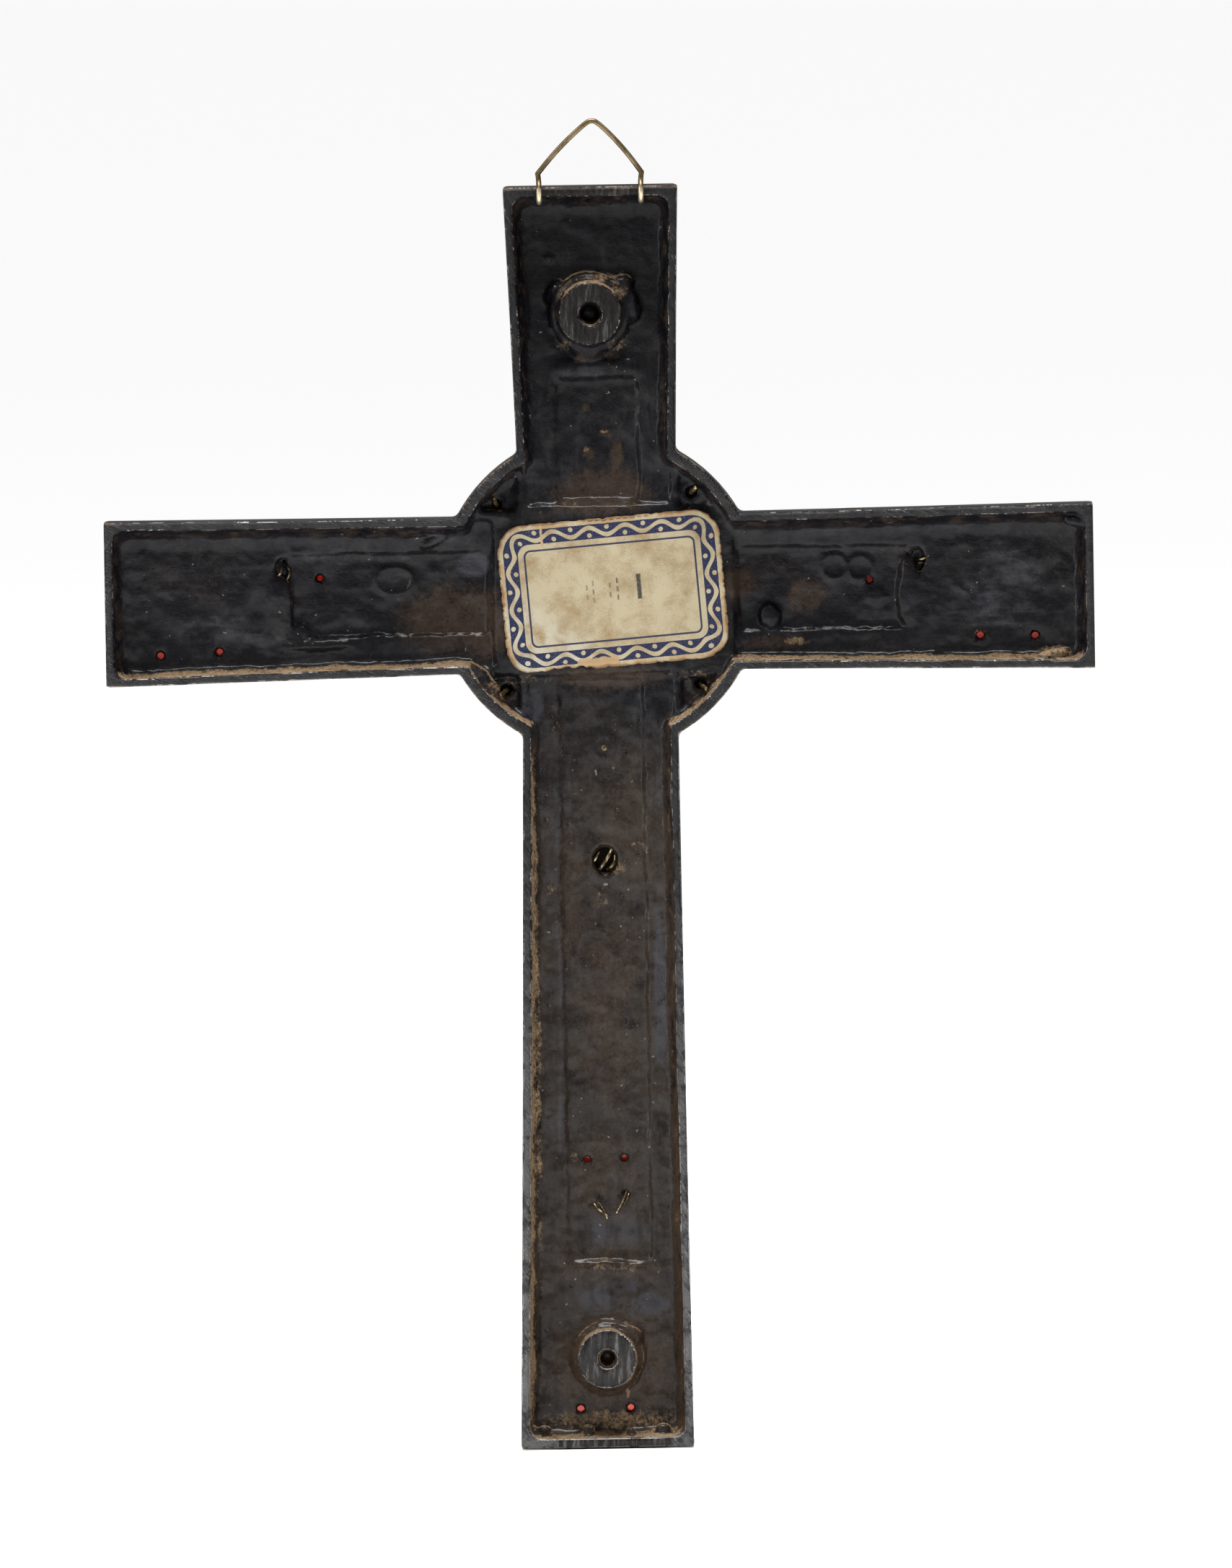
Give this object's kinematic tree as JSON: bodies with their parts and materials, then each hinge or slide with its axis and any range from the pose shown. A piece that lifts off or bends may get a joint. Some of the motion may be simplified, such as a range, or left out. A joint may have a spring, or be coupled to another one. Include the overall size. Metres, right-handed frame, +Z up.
{
  "type": "crucifix",
  "caption": "Wall crucifix: hollow-backed cast bronze cross with a disc, robed figure, glass beads, paper label behind and a swinging wire hanging loop.",
  "frame": {"origin": "the point inside the top of the hanging loop where the nail or hook bears", "axes": "+Z up along the shaft, +Y towards the wall out of the hollow back, so the figure faces -Y"},
  "size_m": [0.1874, 0.0287, 0.2523],
  "materials": {
    "dark_bronze": "cast, dark blue-black to brown patina, filed steel-grey rim",
    "figure_bronze": "cast bronze with red enamel on the robe",
    "hanger_wire": "dull olive-brown drawn wire",
    "label_paper": "cream gummed paper with a navy border, stained",
    "stud_brass": "worn brass",
    "red_glass": "polished red glass",
    "fixing_wire": "bright bent wire"
  },
  "bodies": {
    "cross": {"cross": "dark_bronze", "corpus": "figure_bronze", "label": "label_paper", "disc_stud_1": "stud_brass", "disc_stud_2": "stud_brass", "disc_stud_3": "stud_brass", "disc_stud_4": "stud_brass", "bead_top_1": "red_glass", "bead_top_2": "red_glass", "bead_foot_1": "red_glass", "bead_foot_2": "red_glass", "bead_left_1": "red_glass", "bead_left_2": "red_glass", "bead_right_1": "red_glass", "bead_right_2": "red_glass", "hand_wire_left": "fixing_wire", "hand_wire_right": "fixing_wire", "chest_pin": "fixing_wire", "waist_wire": "fixing_wire", "foot_wire_left": "fixing_wire", "foot_wire_right": "fixing_wire"},
    "hanger": {"hanger": "hanger_wire"}
  },
  "joints": [
    {"name": "hanger_swing", "type": "hinge", "parent": "cross", "child": "hanger", "pos_m": [0.00055, 0.002, -0.01275], "axis": [1, 0, 0], "range_deg": [-90, 12]}
  ]
}
